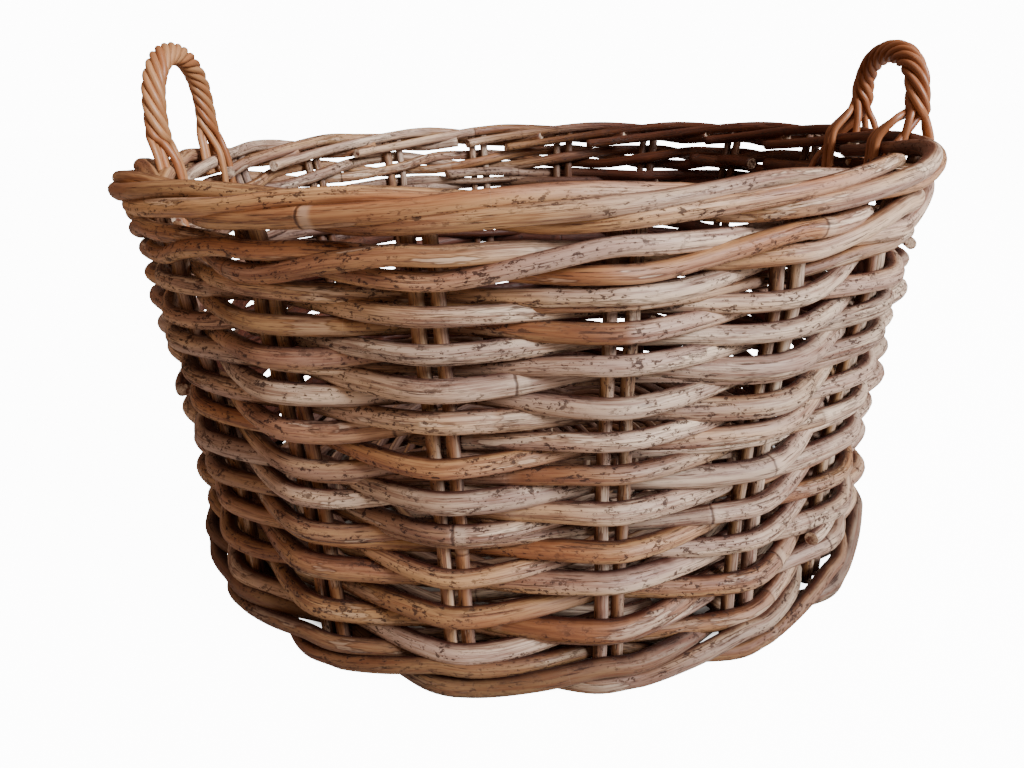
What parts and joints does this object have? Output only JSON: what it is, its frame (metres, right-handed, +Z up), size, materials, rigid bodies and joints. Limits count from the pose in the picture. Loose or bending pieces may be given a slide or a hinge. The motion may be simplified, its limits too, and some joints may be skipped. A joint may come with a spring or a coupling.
{
  "type": "round woven laundry basket",
  "caption": "Round open laundry basket woven from thick rattan rods over paired upright stakes, with a twisted border, foot and two rope-like ear handles.",
  "frame": {"origin": "centre of the basket's round footprint, on the floor it stands on", "axes": "+Z up; +X towards the right handle, so that the handles stand at -X and +X; the open side faces +Z"},
  "size_m": [0.5586, 0.5556, 0.351],
  "materials": {
    "weathered_rattan": "matt, weathered grey to honey brown",
    "stake_rattan": "matt, red brown",
    "border_rattan": "matt, honey brown to pale grey",
    "base_rattan": "matt, brown",
    "handle_rattan": "satin, orange brown"
  },
  "bodies": {
    "root": {"stake_pair_01": "stake_rattan", "stake_pair_02": "stake_rattan", "stake_pair_03": "stake_rattan", "stake_pair_04": "stake_rattan", "stake_pair_05": "stake_rattan", "stake_pair_06": "stake_rattan", "stake_pair_07": "stake_rattan", "stake_pair_08": "stake_rattan", "stake_pair_09": "stake_rattan", "stake_pair_10": "stake_rattan", "stake_pair_11": "stake_rattan", "stake_pair_12": "stake_rattan", "stake_pair_13": "stake_rattan", "stake_pair_14": "stake_rattan", "stake_pair_15": "stake_rattan", "stake_pair_16": "stake_rattan", "stake_pair_17": "stake_rattan", "stake_pair_18": "stake_rattan", "weaver_row_01": "weathered_rattan", "weaver_row_02": "weathered_rattan", "weaver_row_03": "weathered_rattan", "weaver_row_04": "weathered_rattan", "weaver_row_05": "weathered_rattan", "weaver_row_06": "weathered_rattan", "weaver_row_07": "weathered_rattan", "weaver_row_08": "weathered_rattan", "weaver_row_09": "weathered_rattan", "weaver_row_10": "weathered_rattan", "weaver_row_11": "weathered_rattan", "weaver_row_12": "weathered_rattan", "weaver_row_13": "weathered_rattan", "weaver_row_14": "weathered_rattan", "weaver_row_15": "weathered_rattan", "weaver_row_16": "weathered_rattan", "weaver_row_17": "weathered_rattan", "weaver_row_18": "weathered_rattan", "weaver_row_19": "weathered_rattan", "weaver_row_20": "weathered_rattan", "foot_rod_1": "border_rattan", "foot_rod_2": "border_rattan", "foot_rod_3": "border_rattan", "wale_rod_1": "border_rattan", "wale_rod_2": "border_rattan", "wale_rod_3": "border_rattan", "border_rod_1": "border_rattan", "border_rod_2": "border_rattan", "border_rod_3": "border_rattan", "base_stick_x_1": "base_rattan", "base_stick_x_2": "base_rattan", "base_stick_x_3": "base_rattan", "base_stick_y_1": "base_rattan", "base_stick_y_2": "base_rattan", "base_stick_y_3": "base_rattan", "base_weave": "base_rattan", "left_handle_bow": "handle_rattan", "right_handle_bow": "handle_rattan", "left_handle_strand_1": "handle_rattan", "left_handle_strand_2": "handle_rattan", "right_handle_strand_1": "handle_rattan", "right_handle_strand_2": "handle_rattan"}
  },
  "joints": []
}
